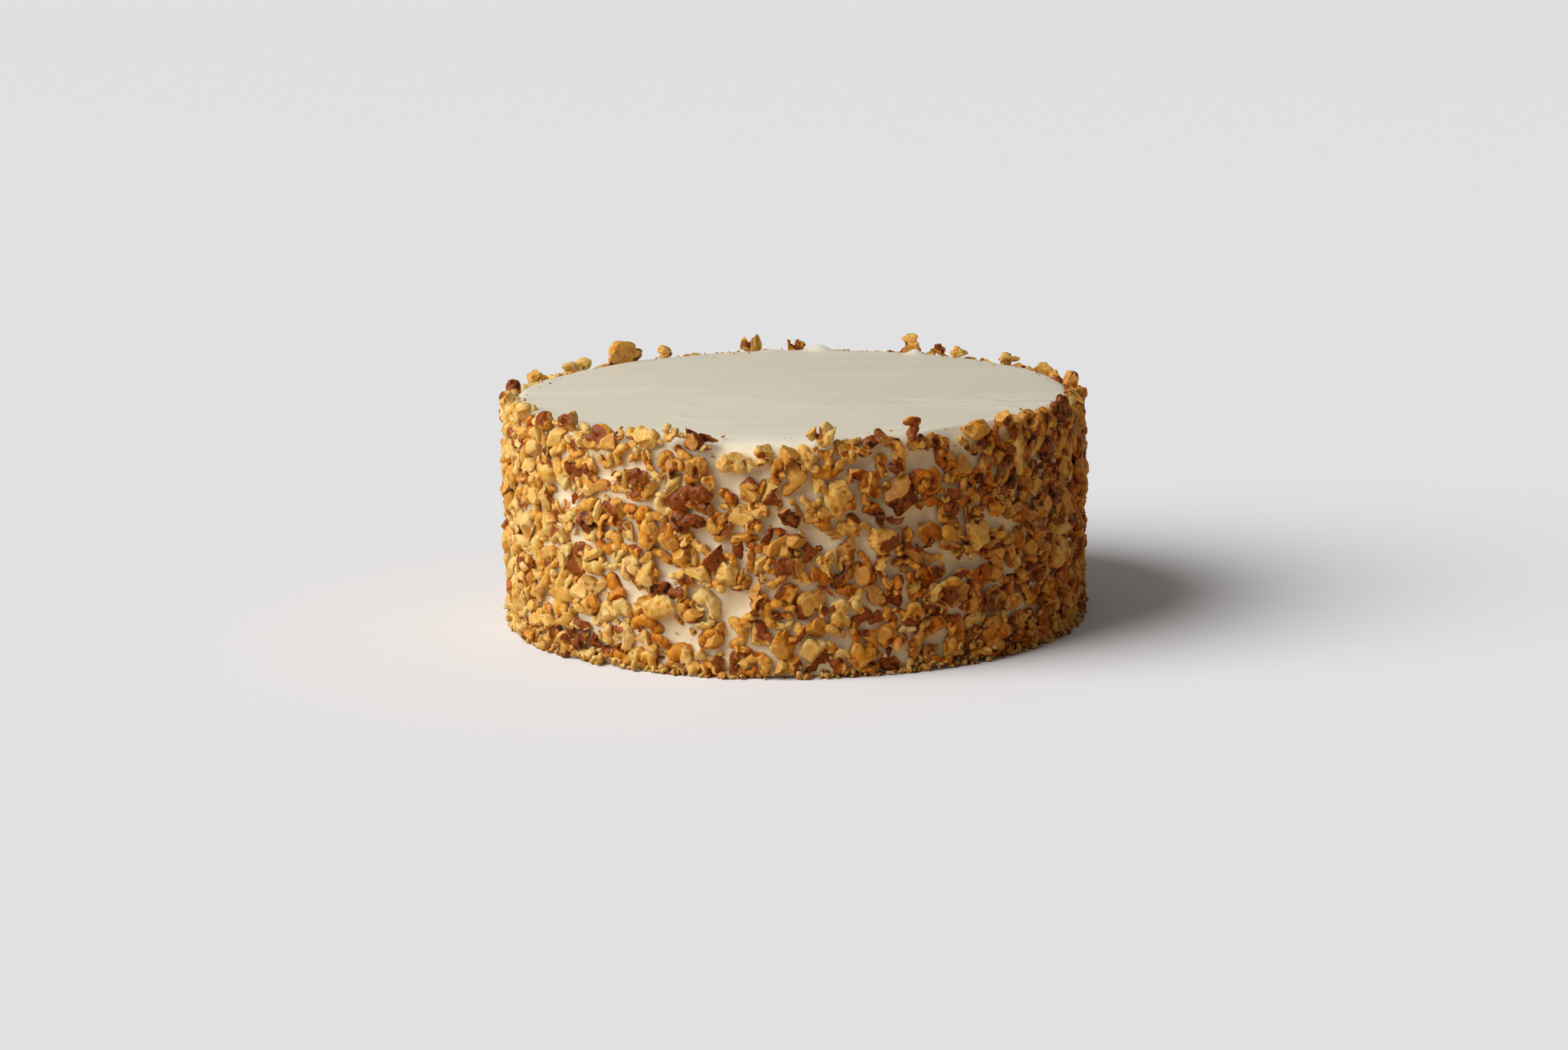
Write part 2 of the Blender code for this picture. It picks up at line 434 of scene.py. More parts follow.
@dataclass(frozen=True)
class WalnutFinish:
    """Walnut flesh with its thin brown skin, as the fragments' attributes lay them out, with painted shade in their
    hollows and deep bases.
    """

    name: str
    cream: tuple[float, float, float] = (0.77, 0.575, 0.225)
    pale: tuple[float, float, float] = (0.745, 0.470, 0.115)
    golden: tuple[float, float, float] = (0.67, 0.305, 0.030)
    amber: tuple[float, float, float] = (0.53, 0.165, 0.007)
    brown: tuple[float, float, float] = (0.30, 0.066, 0.004)
    broken: tuple[float, float, float] = (0.75, 0.50, 0.145)
    # Colour of the painted shade in hollows and where pieces lie deep among the others.
    painted_shade_colour: tuple[float, float, float] = (0.42, 0.10, 0.002)
    skin: tuple[float, float, float] = (0.33, 0.082, 0.012)
    dull_skin: tuple[float, float, float] = (0.22, 0.056, 0.014)
    light_skin: tuple[float, float, float] = (0.46, 0.155, 0.035)
    dark_skin: tuple[float, float, float] = (0.052, 0.011, 0.004)
    speck: tuple[float, float, float] = (0.18, 0.045, 0.010)
    roughness: float = 0.30
    gloss: float = 0.22
    subsurface: float = 0.60

    def material(self, frayed: bpy.types.NodeTree, specks: bpy.types.NodeTree):
        """Builds the material.

        Args:
            frayed: The group that frays a mask's edge.
            specks: The group that scatters specks.

        Returns:
            The material.
        """
        material = bpy.data.materials.new(self.name)
        material.use_nodes = True
        graph = Graph(material.node_tree)
        shader = material.node_tree.nodes["Principled BSDF"]
        place = graph.add("ShaderNodeTexCoord").outputs["Object"]
        read = {
            name: graph.add("ShaderNodeAttribute", attribute_name=name).outputs["Fac"]
            for name in ("tone", "skin", "cut", "relief")
        }
        mottle = graph.noise(place, 330, 2)
        drift = graph.math("MULTIPLY_ADD", graph.math("SUBTRACT", mottle, 0.5), 1.0, read["tone"])
        # Hollows and deep points shift towards darker tones: painted shade.
        drift = graph.math("MULTIPLY_ADD", read["relief"], -0.30, drift)
        drift = graph.math("MULTIPLY_ADD", read["skin"], 0.34, drift)
        stops = (
            (0.0, self.cream),
            (0.20, self.pale),
            (0.44, self.golden),
            (0.72, self.amber),
            (1.0, self.brown),
        )
        flesh = graph.ramp(drift, stops)
        broken = self.masked(graph, frayed, read["cut"], 800.0, 0.7, 0.2)
        flesh = graph.blend(graph.math("MULTIPLY", broken, 0.4), flesh, self.broken)
        rim = graph.math("MULTIPLY", read["cut"], graph.math("SUBTRACT", 1.0, read["cut"]))
        line = self.masked(graph, frayed, graph.math("MULTIPLY", rim, 3.0), 900.0, 0.9, 0.15)
        flesh = graph.blend(graph.math("MULTIPLY", line, 0.5), flesh, self.skin)
        # Hollows and deep points blend to a dark orange-brown: painted shade.
        hollow = graph.math("MULTIPLY", read["relief"], -0.60, clamp=True)
        flesh = graph.blend(hollow, flesh, self.painted_shade_colour)
        blotch = graph.noise(place, 420, 3)
        stops = (
            (0.28, self.dark_skin),
            (0.44, self.skin),
            (0.54, self.dull_skin),
            (0.64, self.skin),
            (0.78, self.light_skin),
        )
        peel = graph.ramp(graph.math("MULTIPLY_ADD", read["tone"], -0.25, graph.math("ADD", blotch, 0.08)), stops)
        skinned = self.masked(graph, frayed, read["skin"], 520.0, 0.9, 0.14)
        colour = graph.blend(skinned, flesh, peel)
        dots = graph.add("ShaderNodeGroup", node_tree=specks)
        dots.inputs["Scale"].default_value = 650.0
        dots.inputs["Size"].default_value = 0.16
        dots.inputs["Share"].default_value = 0.18
        colour = graph.blend(graph.math("MULTIPLY", dots.outputs[0], 0.7), colour, self.speck)
        wrinkles = graph.noise(place, 1000, 4)
        height = graph.math("MULTIPLY_ADD", skinned, 0.25, wrinkles)
        bump = graph.add("ShaderNodeBump", {"Height": height, "Strength": 0.40, "Distance": 0.0005})
        shine = graph.math("MULTIPLY_ADD", skinned, -0.3, graph.noise(place, 500, 2))
        limits = {0: shine, 1: 0.05, 2: 0.7, 3: self.roughness - 0.14, 4: self.roughness + 0.2}
        rough = graph.add("ShaderNodeMapRange", limits)
        link = material.node_tree.links.new
        link(colour, shader.inputs["Base Color"])
        link(bump.outputs[0], shader.inputs["Normal"])
        link(rough.outputs[0], shader.inputs["Roughness"])
        shader.inputs["Subsurface Weight"].default_value = self.subsurface
        shader.inputs["Subsurface Radius"].default_value = (1.0, 0.50, 0.15)
        shader.inputs["Subsurface Scale"].default_value = 0.0014
        shader.inputs["IOR"].default_value = 1.47
        shader.inputs["Specular IOR Level"].default_value = self.gloss
        return material

    @staticmethod
    def masked(graph: Graph, frayed: bpy.types.NodeTree, mask: object, scale: float, fray: float, soft: float):
        """Frays a mask.

        Args:
            graph: The material's graph.
            frayed: The group that frays a mask's edge.
            mask: Socket of the soft mask.
            scale: Cells of the fraying for each metre.
            fray: How far the edge frays.
            soft: How soft the edge is.

        Returns:
            The frayed mask's socket.
        """
        node = graph.add("ShaderNodeGroup", node_tree=frayed)
        graph.tree.links.new(mask, node.inputs["Mask"])
        for name, value in (("Scale", scale), ("Fray", fray), ("Softness", soft)):
            node.inputs[name].default_value = value
        return node.outputs[0]


@dataclass(frozen=True)
class FloorFinish:
    """Plain pale studio floor, which throws back less light than it shows."""

    colour: tuple[float, float, float] = (0.862, 0.905, 0.995)
    bounced: tuple[float, float, float] = (0.56, 0.42, 0.27)

    def material(self) -> bpy.types.Material:
        """Builds the material."""
        material = bpy.data.materials.new("pale_floor")
        material.use_nodes = True
        graph = Graph(material.node_tree)
        shader = material.node_tree.nodes["Principled BSDF"]
        seen = graph.add("ShaderNodeLightPath").outputs["Is Camera Ray"]
        colour = graph.blend(seen, self.bounced, self.colour)
        material.node_tree.links.new(colour, shader.inputs["Base Color"])
        shader.inputs["Roughness"].default_value = 0.9
        shader.inputs["Specular IOR Level"].default_value = 0.2
        return material


# ------------------------------------------------------------------- fragments of walnut


class Kind(Enum):
    """Shapes that a chopped kernel falls into."""

    LOBED = "lobed"
    CURL = "curl"
    FINGER = "finger"
    CHIP = "chip"
    SHELL = "shell"
    FLAKE = "flake"


@dataclass(frozen=True)
class Recipe:
    """How fragments of one kind are grown, with lengths in units of a large lobe's radius."""

    lobes: tuple[int, int]
    lobe_radius: tuple[float, float]
    spine: float
    bend: float
    scatter: float
    flatness: float
    cuts: tuple[int, int]
    cut_depth: tuple[float, float]
    scoops: tuple[int, int] = (0, 1)
    scoop_radius: float = 0.9
    dish: float = 0.0


RECIPES = {
    Kind.LOBED: Recipe((3, 6), (0.78, 1.10), 2.0, 1.0, 0.50, 0.78, (3, 5), (0.5, 0.82), (0, 1), 1.4),
    Kind.CURL: Recipe((8, 10), (0.64, 0.85), 4.2, 2.6, 0.10, 0.90, (1, 3), (0.7, 0.95)),
    Kind.FINGER: Recipe((4, 5), (0.72, 1.0), 2.7, 1.0, 0.18, 0.85, (2, 4), (0.6, 0.9)),
    Kind.CHIP: Recipe((3, 5), (0.8, 1.1), 1.5, 0.4, 0.40, 0.62, (5, 8), (0.34, 0.70)),
    Kind.SHELL: Recipe((5, 7), (0.74, 1.0), 2.3, 1.0, 0.46, 0.68, (3, 5), (0.5, 0.8), (1, 2), 1.3, 0.08),
    Kind.FLAKE: Recipe((5, 7), (0.6, 0.9), 2.2, 0.5, 0.40, 0.22, (3, 5), (0.45, 0.8), (0, 0), 0.9, 0.14),
}


@dataclass
class Shape:
    """A fragment's mesh as arrays, its box centred on the origin, longest along X."""

    points: np.ndarray
    faces: np.ndarray
    cut: np.ndarray
    relief: np.ndarray
    normals: np.ndarray

    @property
    def size(self) -> np.ndarray:
        """The box's size."""
        return self.points.max(0) - self.points.min(0)


@dataclass
class FragmentMaker:
    """Grows walnut fragments: folds fused along a bent spine, with broken faces and hollows."""

    voxel: float = 0.11
    wrinkle: float = 0.07
    break_roughness: float = 0.06

    def grow(self, kind: Kind, seed: int, triangles: int) -> Shape:
        """Grows one fragment.

        Args:
            kind: The kind of fragment.
            seed: Seed of its random form.
            triangles: About how many triangles it may have.

        Returns:
            The fragment.
        """
        chance = random.Random(seed)
        recipe = RECIPES[kind]
        mesh = self.lobes(recipe, chance)
        mesh = evaluated(
            mesh,
            ("REMESH", {"mode": "VOXEL", "voxel_size": self.voxel}),
            ("SMOOTH", {"factor": 0.5, "iterations": 5}),
        )
        planes = self.chop(mesh, recipe, chance)
        share = min(1.0, triangles / (2 * len(mesh.polygons)))
        mesh = evaluated(
            mesh,
            ("SMOOTH", {"factor": 0.5, "iterations": 1}),
            ("DECIMATE", {"ratio": share, "use_collapse_triangulate": True}),
        )
        return self.measured(mesh, planes)

    def lobes(self, recipe: Recipe, chance: random.Random) -> bpy.types.Mesh:
        """Sets lobes along a bent spine.

        Args:
            recipe: The fragment's recipe.
            chance: Source of random numbers.

        Returns:
            The mesh of the separate lobes.
        """
        bm = bmesh.new()
        count = chance.randint(*recipe.lobes)
        bend = recipe.bend * chance.uniform(0.7, 1.25) + 1e-3
        reach = recipe.spine / bend
        for number in range(count):
            angle = bend * (number / (count - 1) - 0.5)
            x, y = reach * math.sin(angle), reach * (1 - math.cos(angle))
            jitter = Vector([chance.gauss(0, recipe.scatter) for _ in range(3)])
            jitter.z *= recipe.flatness
            radius = chance.uniform(*recipe.lobe_radius)
            stretch = (chance.uniform(1.0, 1.5), chance.uniform(0.7, 1.1), chance.uniform(0.8, 1.1))
            place = Matrix.Translation(Vector((x, y, 0)) + jitter)
            turn = Matrix.Rotation(angle + chance.gauss(0, 0.6), 4, "Z")
            tilt = Matrix.Rotation(chance.gauss(0, 0.4), 4, "X")
            grow = Matrix.Diagonal((stretch[0] * radius, stretch[1] * radius, stretch[2] * radius, 1.0))
            squeeze = Matrix.Diagonal((1.0, 1.0, recipe.flatness, 1.0))
            matrix = place @ squeeze @ turn @ tilt @ grow
            bmesh.ops.create_icosphere(bm, subdivisions=3, radius=1.0, matrix=matrix)
        mesh = bpy.data.meshes.new("lobes")
        bm.to_mesh(mesh)
        bm.free()
        return mesh

    def chop(self, mesh: bpy.types.Mesh, recipe: Recipe, chance: random.Random) -> list:
        """Wrinkles the fragment, hollows it and breaks it off past its planes.

        Args:
            mesh: The fused fragment, which is changed.
            recipe: Its recipe.
            chance: Source of random numbers.

        Returns:
            The facing and distance of each break.
        """
        bm = bmesh.new()
        bm.from_mesh(mesh)
        keep_largest(bm)
        shift = Vector([chance.uniform(-90, 90) for _ in range(3)])
        for vertex in bm.verts:
            broad = noise.noise(vertex.co * 0.8 + shift)
            fold = abs(noise.noise(vertex.co * 1.5 + shift * 2)) - 0.2
            vertex.co += vertex.normal * self.wrinkle * (1.6 * broad - 2.2 * fold)
        middle = sum((v.co for v in bm.verts), Vector()) / len(bm.verts)
        for _ in range(chance.randint(*recipe.scoops)):
            facing = Vector([chance.gauss(0, 1) for _ in range(3)]).normalized()
            far = max((v.co - middle).dot(facing) for v in bm.verts)
            radius = recipe.scoop_radius * chance.uniform(0.7, 1.2)
            centre = middle + facing * (far * chance.uniform(0.6, 0.85) + radius * 0.75)
            for vertex in bm.verts:
                away = vertex.co - centre
                if away.length < radius:
                    vertex.co = centre + away.normalized() * radius
        planes = []
        for _ in range(chance.randint(*recipe.cuts)):
            facing = Vector([chance.gauss(0, 1) for _ in range(3)])
            facing.z *= 0.8
            facing.normalize()
            far = max((v.co - middle).dot(facing) for v in bm.verts)
            distance = middle.dot(facing) + far * chance.uniform(*recipe.cut_depth)
            for vertex in bm.verts:
                rough = noise.noise(vertex.co * 1.3 + shift) + 0.5 * noise.noise(vertex.co * 3.1 + shift)
                over = vertex.co.dot(facing) - distance - self.break_roughness * rough
                if over > 0:
                    vertex.co -= facing * over
            planes.append((facing, distance))
        dish = recipe.dish * chance.uniform(0.5, 1.5)
        for vertex in bm.verts:
            vertex.co.z += dish * (vertex.co.x - middle.x) ** 2
        bm.to_mesh(mesh)
        bm.free()
        return planes

    def measured(self, mesh: bpy.types.Mesh, planes: list) -> Shape:
        """Reads a finished fragment into arrays, turned so that its longest side is X.

        Args:
            mesh: The fragment's mesh; it is removed.
            planes: Facing and distance of each break.

        Returns:
            The fragment.
        """
        bm = bmesh.new()
        bm.from_mesh(mesh)
        bmesh.ops.triangulate(bm, faces=bm.faces)
        bm.normal_update()
        points = np.array([v.co for v in bm.verts])
        normals = np.array([v.normal for v in bm.verts])
        faces = np.array([[v.index for v in f.verts] for f in bm.faces])
        # Relief: how far each point stands above or sinks below its neighbours; the finish darkens sunk points as
        # painted shade.
        relief = []
        for vertex in bm.verts:
            around = [edge.other_vert(vertex).co for edge in vertex.link_edges]
            mean = sum(around, Vector()) / len(around)
            reach = sum(edge.calc_length() for edge in vertex.link_edges) / len(around)
            relief.append((vertex.co - mean).dot(vertex.normal) / reach)
        bm.free()
        bpy.data.meshes.remove(mesh)
        cut = np.zeros(len(points))
        for facing, distance in planes:
            near = np.abs(points @ np.array(facing) - distance)
            facing_out = normals @ np.array(facing)
            cut = np.maximum(cut, (near < 0.22) * smoothstep(0.55, 0.9, facing_out))
        centred = points - points.mean(0)
        _, _, axes = np.linalg.svd(centred, full_matrices=False)
        if np.linalg.det(axes) < 0:
            axes[2] = -axes[2]
        turned = centred @ axes.T
        turned -= (turned.max(0) + turned.min(0)) / 2
        return Shape(turned, faces, cut, np.clip(2.6 * np.array(relief), -1, 1), normals @ axes.T)


@dataclass
class Heap:
    """Fragments gathered into one mesh, with their tone, skin, breaks and relief, the relief also carrying painted
    shade.
    """

    points: list = field(default_factory=list)
    faces: list = field(default_factory=list)
    masks: dict = field(default_factory=lambda: {n: [] for n in ("tone", "skin", "cut", "relief")})
    count: int = 0

    def add(
        self,
        shape: Shape,
        matrix: np.ndarray,
        place: np.ndarray,
        tone: float,
        skin: np.ndarray,
        depth: np.ndarray | float = 0.0,
    ) -> None:
        """Adds one fragment.

        Args:
            shape: Its shape.
            matrix: Three by three matrix that scales and turns it.
            place: Where its middle goes.
            tone: From 0, pale, to 1, dark.
            skin: How much of each point the brown skin covers.
            depth: From 0 where a point stands free to 1 where it lies deep among the others; deep points get
                painted shade through their relief.
        """
        self.points.append(shape.points @ matrix.T + place)
        faces = shape.faces if np.linalg.det(matrix) > 0 else shape.faces[:, ::-1]
        self.faces.append(faces + self.count)
        self.count += len(shape.points)
        self.masks["tone"].append(np.full(len(shape.points), tone))
        self.masks["skin"].append(skin)
        self.masks["cut"].append(shape.cut)
        # Points deep among the others lower their relief, which the finish paints as shade.
        self.masks["relief"].append(np.clip(shape.relief - 0.9 * depth, -1, 1))

    def mesh(self, name: str) -> bpy.types.Mesh:
        """Joins what was added.

        Args:
            name: Name of the mesh.

        Returns:
            The mesh, with a point attribute for each mask.
        """
        mesh = bpy.data.meshes.new(name)
        mesh.from_pydata(np.concatenate(self.points), [], np.concatenate(self.faces))
        for mask, values in self.masks.items():
            attribute = mesh.attributes.new(mask, "FLOAT", "POINT")
            attribute.data.foreach_set("value", np.concatenate(values).astype(np.float32))
        return mesh


def skin_over(shape: Shape, towards: np.ndarray, share: float) -> np.ndarray:
    """Lays brown skin over the side of a fragment that faces one way, but not on its breaks.

    Args:
        shape: The fragment.
        towards: Direction that the middle of the skin faces, in the fragment's own axes.
        share: Share of the surface that it covers.

    Returns:
        The mask of each point.
    """
    if share <= 0:
        return np.zeros(len(shape.points))
    spread = shape.points / (np.linalg.norm(shape.points, axis=1, keepdims=True) + 1e-9)
    facing = 0.5 * (spread @ towards) + 0.4 * (shape.normals @ towards)
    x, y, z = shape.points.T
    facing = facing + 0.45 * ValueNoise(3)(x / 0.9 + 20 * towards[0], y / 0.9, z / 0.9)
    limit = 1 - 2 * share
    return smoothstep(limit - 0.22, limit + 0.22, facing) * (1 - 0.8 * shape.cut)


# ----------------------------------------------------------------------- the cake's form


@dataclass(frozen=True)
class Streak:
    """Stretch of the side that the nuts left bare, on the unrolled side.

    Angle and slope are in degrees, and the height, length and width in millimetres.
    """

    angle: float
    height: float
    length: float
    width: float
    slope: float = 0.0


BARE_STREAKS = (
    Streak(213, 83, 9, 4, -20),
    Streak(219, 66, 18, 6, 0),
    Streak(224, 51, 11, 7, 30),
    Streak(212, 20, 8, 5, 0),
    Streak(231, 78, 14, 5, -45),
    Streak(238, 80, 16, 6, -35),
    Streak(240, 27, 20, 6, -25),
    Streak(246, 18, 20, 7, -30),
    Streak(244, 42, 13, 4, -15),
    Streak(236, 33, 9, 6, 20),
    Streak(253, 84, 10, 9, -60),
    Streak(257, 79, 16, 7, -50),
    Streak(255, 68, 9, 5, -60),
    Streak(252, 55, 12, 5, -20),
    Streak(259, 29, 12, 7, 0),
    Streak(266, 62, 13, 5, 10),
    Streak(263, 82, 7, 7, 0),
    Streak(272, 74, 8, 5, -30),
    Streak(274, 56, 17, 6, -35),
    Streak(281, 65, 13, 4, -30),
    Streak(285, 52, 18, 8, 0),
    Streak(283, 84, 9, 4, 10),
    Streak(294, 62, 26, 6, 8),
    Streak(288, 41, 9, 5, 60),
    Streak(294, 85, 13, 8, -10),
    Streak(301, 88, 9, 6, 0),
    Streak(305, 82, 16, 6, -35),
    Streak(303, 41, 24, 5, -8),
    Streak(314, 54, 20, 5, -25),
    Streak(278, 14, 13, 6, -30),
    Streak(289, 8, 12, 6, 0),
    Streak(297, 12, 10, 8, 40),
    Streak(272, 36, 8, 4, 30),
    Streak(317, 67, 9, 6, 60),
    Streak(316, 33, 12, 4, -20),
    Streak(258, 90, 16, 9, 0),
    Streak(268, 93, 18, 4, 0),
    Streak(286, 90, 12, 6, 0),
    Streak(303, 94, 26, 4, 0),
)


@dataclass
class CakeForm:
    """Form of the frosted cake: its side, its rolled edge and its top."""

    radius: float
    height: float
    side_wave: float = 0.0005
    wave_noise: ValueNoise = field(default_factory=lambda: ValueNoise(11))

    @classmethod
    def from_frame(cls) -> CakeForm:
        """Takes the cake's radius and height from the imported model."""
        low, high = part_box("frosted_cake")
        return cls(radius=(high.x - low.x) / 2, height=high.z)

    def corner(self, angle: np.ndarray) -> np.ndarray:
        """Radius of the rolled edge, which is soft at the front left and crisper at the right."""
        soft = np.exp(-(((np.degrees(angle) % 360 - 258) / 20) ** 2))
        uneven = self.wave_noise(angle * 4, angle * 0 + 3.3, angle * 0)
        return 0.0034 + 0.0034 * soft + 0.0008 * uneven

    def side(self, angle: np.ndarray, height: np.ndarray) -> np.ndarray:
        """Radius of the frosted side, with the waves that the spatula left."""
        around = self.wave_noise(np.cos(angle) * 3 + 9, np.sin(angle) * 3 + 9, height / 0.03)
        return self.radius + self.side_wave * around


@dataclass
class SideMap:
    """The unrolled side in small cells: how high the nuts stand in each, and which stay bare."""

    form: CakeForm
    cell: float = 0.0009
    seed: int = 5
    most_height: float = 0.0058
    stands_out: float = 0.0003
    heights: np.ndarray = field(init=False)
    bare: np.ndarray = field(init=False)

    def __post_init__(self) -> None:
        """Lays out the bare streaks: those of the front, and like ones behind."""
        columns, rows = round(self.girth / self.cell), round((self.form.height + 0.003) / self.cell)
        self.heights = np.zeros((columns, rows))
        self.bare = np.zeros((columns, rows))
        chance = np.random.default_rng(self.seed)
        streaks = [(s.angle, s.height, s.length, s.width, s.slope) for s in BARE_STREAKS]
        for angle in np.arange(-30, 204, 5.5):
            place = (angle + chance.normal(0, 2.5), chance.uniform(8, 88))
            form = (chance.uniform(8, 20), chance.uniform(3.5, 7), chance.normal(-8, 25))
            streaks.append((*place, *form))
        ragged = ValueNoise(77)
        along = (np.arange(columns) * self.cell)[:, None]
        up = (np.arange(rows) * self.cell)[None, :]
        wave = 0.4 * ragged(along / 0.0035, up / 0.0035, 0 * along * up)
        for angle, height, length, width, slope in streaks:
            middle = math.radians(angle % 360) * self.form.radius
            dx = (along - middle + self.girth / 2) % self.girth - self.girth / 2
            dz = up - height * MM
            turn = math.radians(slope)
            ahead = (dx * math.cos(turn) + dz * math.sin(turn)) / (length * MM / 2)
            across = (dz * math.cos(turn) - dx * math.sin(turn)) / (width * MM / 2)
            inside = 1 - smoothstep(0.8, 1.15, np.sqrt(ahead**2 + across**2) + wave)
            self.bare = np.maximum(self.bare, inside)

    @property
    def girth(self) -> float:
        """Length of the way round the side."""
        return FULL_TURN * self.form.radius

    def cells_of(self, along: np.ndarray, up: np.ndarray, out: np.ndarray) -> tuple[np.ndarray, np.ndarray]:
        """Finds the cells in which a piece's points stand out of the frosting.

        Args:
            along: Distance of each point round the side.
            up: Height of each point over the foot.
            out: How far each point stands out.

        Returns:
            Which points do, and the flat index of the cell of each.
        """
        columns, rows = self.heights.shape
        row = np.floor(up / self.cell).astype(int)
        proud = (row >= 0) & (row < rows) & (out > 0)
        column = np.floor(along[proud] / self.cell).astype(int) % columns
        return proud, column * rows + row[proud]

    def settle(self, along: float, height: float, local: np.ndarray, overlap: float, most_bare: float):
        """Lets a piece down on the side, if there is room for it.

        Args:
            along: Distance round the side of its middle.
            height: Height over the foot of its middle.
            local: Its points, as along, up and out.
            overlap: Most of it that may lie on other pieces.
            most_bare: Most of it that may lie on a bare streak.

        Returns:
            How high it lies, or None if there is no room.
        """
        proud, index = self.cells_of(along + local[:, 0], height + local[:, 1], local[:, 2])
        if not len(index):
            return None
        cells = np.unique(index)
        if self.bare.flat[cells].mean() > most_bare:
            return None
        under = self.heights.flat[cells]
        if (under > self.stands_out).mean() > overlap:
            return None
        base = 0.8 * float(under.mean()) + 0.2 * float(under.max())
        if base + local[:, 2].max() > self.most_height:
            return None
        np.maximum.at(self.heights.ravel(), index, base + local[proud, 2])
        return base

    def stamp(self, points: np.ndarray) -> None:
        """Marks the cells that a piece in its place covers."""
        along = (np.arctan2(points[:, 1], points[:, 0]) % FULL_TURN) * self.form.radius
        out = np.hypot(points[:, 0], points[:, 1]) - self.form.radius
        _, index = self.cells_of(along, points[:, 2], out)
        self.heights.flat[index] = self.most_height

    def open_place(self, chance: np.random.Generator) -> tuple[float, float]:
        """Picks a place at random, more often than not one where no nut lies yet."""
        columns, rows = self.heights.shape
        for _ in range(4):
            column, row = chance.integers(columns), chance.integers(rows)
            if self.heights[column, row] < self.stands_out and self.bare[column, row] < 0.5:
                break
        return (column + chance.random()) * self.cell, (row + chance.random()) * self.cell

    def covered(self, spread: float) -> np.ndarray:
        """Blurs the covered cells.

        Args:
            spread: Distance over which they are blurred.

        Returns:
            Covered share of each cell, from 0 to 1.
        """
        columns, rows = self.heights.shape
        padded = np.pad((self.heights > self.stands_out).astype(float), ((0, 0), (0, rows)), mode="symmetric")
        fx = np.fft.fftfreq(columns, self.cell)[:, None]
        fz = np.fft.rfftfreq(2 * rows, self.cell)[None, :]
        blur = np.exp(-2 * (math.pi * spread) ** 2 * (fx**2 + fz**2))
        return np.fft.irfft2(np.fft.rfft2(padded) * blur, s=padded.shape)[:, :rows]


